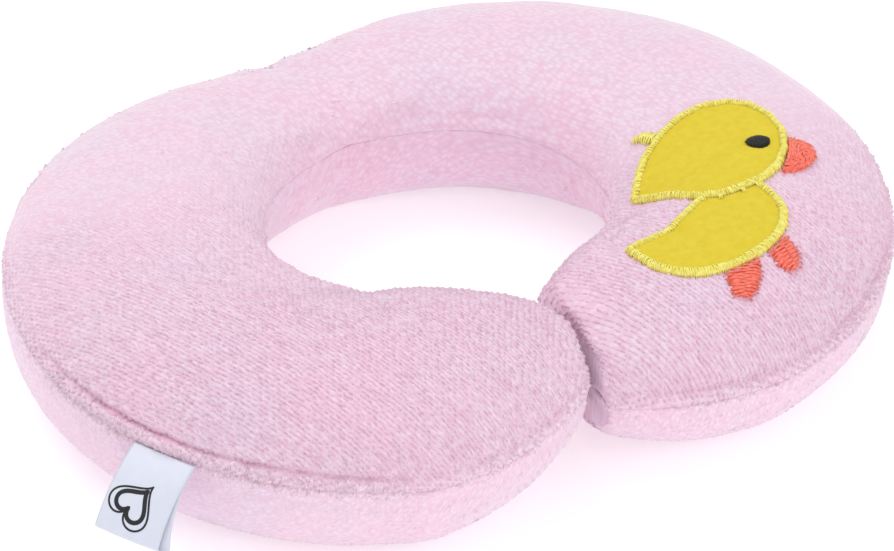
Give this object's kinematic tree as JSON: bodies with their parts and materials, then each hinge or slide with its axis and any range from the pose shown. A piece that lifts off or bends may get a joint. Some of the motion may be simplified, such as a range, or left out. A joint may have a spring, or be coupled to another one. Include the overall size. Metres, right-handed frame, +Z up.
{
  "type": "neck pillow",
  "caption": "Small U shaped plush neck pillow, stuffed and sewn along one outline seam, with a felt and embroidered duck on one arm and a folded ribbon label in the seam.",
  "frame": {"origin": "on the ground under the middle of the outline, label included", "axes": "+Z up out of the upper plush panel; +Y towards the back of the neck, so the gap between the arms faces -Y; +X towards the arm that carries the duck"},
  "size_m": [0.2606, 0.1942, 0.0509],
  "materials": {
    "plush": "matte",
    "fibre": "matte",
    "felt": "matte",
    "yellow_thread": "satin",
    "coral_thread": "satin",
    "black_thread": "satin",
    "pink_thread": "satin",
    "backing": "matte",
    "satin_ribbon": "satin"
  },
  "bodies": {
    "pillow": {"top_cover_panel": "plush", "bottom_cover_panel": "plush", "fibre_filling": "fibre", "seam_thread": "pink_thread", "closing_ladder_stitch": "pink_thread", "duck_head_patch": "felt", "duck_body_patch": "felt", "head_satin_border": "yellow_thread", "body_satin_border": "yellow_thread", "head_tuft": "yellow_thread", "beak": "coral_thread", "front_foot": "coral_thread", "rear_foot": "coral_thread", "eye": "black_thread", "embroidery_stabiliser": "backing", "label_seam_tail": "satin_ribbon"},
    "label": {"folded_label": "satin_ribbon"}
  },
  "joints": [
    {"name": "label_flap", "type": "hinge", "parent": "pillow", "child": "label", "pos_m": [-0.11089, -0.04971, 0.02959], "axis": [-0.4326, 0.9014, 0.0198], "range_deg": [-40, 90], "stiffness_Nm_per_rad": 0.0001}
  ]
}
